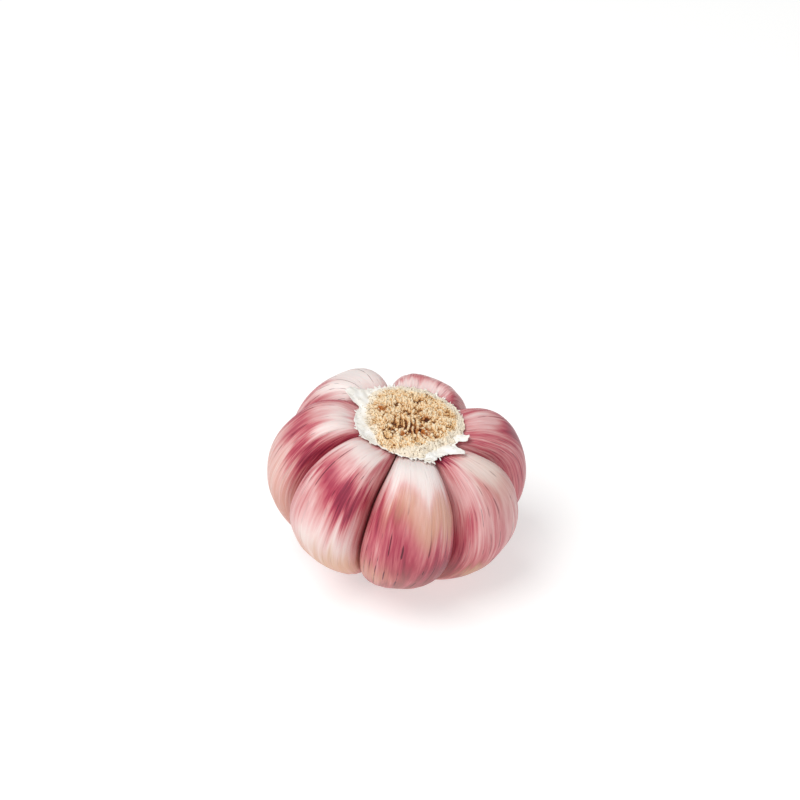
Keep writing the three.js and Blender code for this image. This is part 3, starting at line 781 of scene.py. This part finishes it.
def dry_straw(name, dark, light):
    """Dry stalk or leaf sheath: straw-coloured, with fibres along it about 0.4 mm apart."""
    material, nodes, shader = new_material(name)
    where = add_node(nodes, "ShaderNodeTexCoord")
    drawn = add_node(nodes, "ShaderNodeMapping", {0: where.outputs["Object"]}, Scale=(2400, 2400, 160))
    fibres = add_node(nodes, "ShaderNodeTexNoise", {0: drawn.outputs[0]}, Scale=1, Detail=3, Roughness=0.6)
    tone = add_node(nodes, "ShaderNodeMapRange", {0: fibres.outputs[0]}, _1=0.35, _2=0.65)
    colour = add_node(nodes, "ShaderNodeMix", {0: tone.outputs[0]}, data_type="RGBA",
                      _6=linear(dark), _7=linear(light))
    nodes.id_data.links.new(colour.outputs[2], shader.inputs["Base Color"])
    bump = add_node(nodes, "ShaderNodeBump", {"Height": fibres.outputs[0]}, Strength=0.6, Distance=0.0003)
    nodes.id_data.links.new(bump.outputs[0], shader.inputs["Normal"])
    shader.inputs["Roughness"].default_value = 0.8
    return material


def white_acrylic_floor():
    """A white acrylic table, faintly lit from beneath, which leaves hardly any shadow."""
    material, nodes, shader = new_material("white_lit_acrylic")
    where = add_node(nodes, "ShaderNodeTexCoord")
    tooth = add_node(nodes, "ShaderNodeTexNoise", {0: where.outputs["Object"]}, Scale=900, Detail=2)
    bump = add_node(nodes, "ShaderNodeBump", {"Height": tooth.outputs[0]}, Strength=0.05, Distance=0.0001)
    nodes.id_data.links.new(bump.outputs[0], shader.inputs["Normal"])
    shader.inputs["Base Color"].default_value = linear("#d2d2d1")
    shader.inputs["Emission Color"].default_value = linear("#ffffff")
    shader.inputs["Emission Strength"].default_value = 0.48
    shader.inputs["Roughness"].default_value = 0.85
    return material


def make_floor():
    bm = bmesh.new()
    bmesh.ops.create_grid(bm, x_segments=2, y_segments=2, size=3)
    mesh = bpy.data.meshes.new("floor")
    bm.to_mesh(mesh)
    bm.free()
    mesh.materials.append(white_acrylic_floor())
    floor = bpy.data.objects.new("floor", mesh)
    bpy.context.scene.collection.objects.link(floor)


def make_light(name, place, size, power):
    """A square soft light that faces the bulb."""
    light = bpy.data.lights.new(name, "AREA")
    light.size = size
    light.energy = power
    lamp = bpy.data.objects.new(name, light)
    lamp.location = place
    lamp.rotation_euler = (Vector((0, 0, 0.02)) - Vector(place)).to_track_quat("-Z", "Y").to_euler()
    bpy.context.scene.collection.objects.link(lamp)


def light_studio():
    """A large soft light from above and the left, a weaker one from the front, and white surroundings."""
    make_light("key", (-0.34, -0.24, 0.84), 0.6, 6.2)
    make_light("front", (0.25, -0.95, 0.6), 0.7, 1.9)
    world = bpy.data.worlds.new("studio")
    bpy.context.scene.world = world
    world.use_nodes = True
    world.node_tree.nodes["Background"].inputs["Color"].default_value = (1, 1, 1, 1)
    world.node_tree.nodes["Background"].inputs["Strength"].default_value = 0.37
    bpy.context.scene.view_settings.view_transform = "Standard"


def set_camera():
    """The photograph's view: 37.2 degrees down from a little over half a metre, the bulb just under the middle."""
    pixels = 800
    focal = 2444
    depth = 0.541
    down = math.radians(37.2)
    forward = Vector((0, math.cos(down), -math.sin(down)))
    right = Vector((1, 0, 0))
    up = Vector((0, math.sin(down), math.cos(down)))
    bulb = PLACE @ Vector((0, 0, 0))
    shift = right * (397 - pixels / 2) + up * (pixels / 2 - 477.5)
    camera = bpy.data.objects.new("camera", bpy.data.cameras.new("camera"))
    camera.data.sensor_width = 36
    camera.data.lens = focal / pixels * 36
    camera.location = bulb - forward * depth - shift * depth / focal
    camera.rotation_euler = forward.to_track_quat("-Z", "Y").to_euler()
    bpy.context.scene.collection.objects.link(camera)
    bpy.context.scene.camera = camera


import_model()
PLACE = placing()

skin = purple_garlic_skin()
for number in range(1, len(CLOVES) + 1):
    make_clove(number, skin)
make_root_plate(dry_cork())
roots = dry_root_fibre()
make_root_crust(roots)
make_root_mat(roots)
paper = papery_white_skin()
make_skin_collar(paper)
make_skin_fibres(paper)
make_stalk(dry_straw("dry_stalk_straw", "#8f7349", "#cdb48a"))
make_neck_sheath(dry_straw("dry_leaf_sheath", "#a98a5e", "#ddc9a4"))

make_floor()
light_studio()
set_camera()
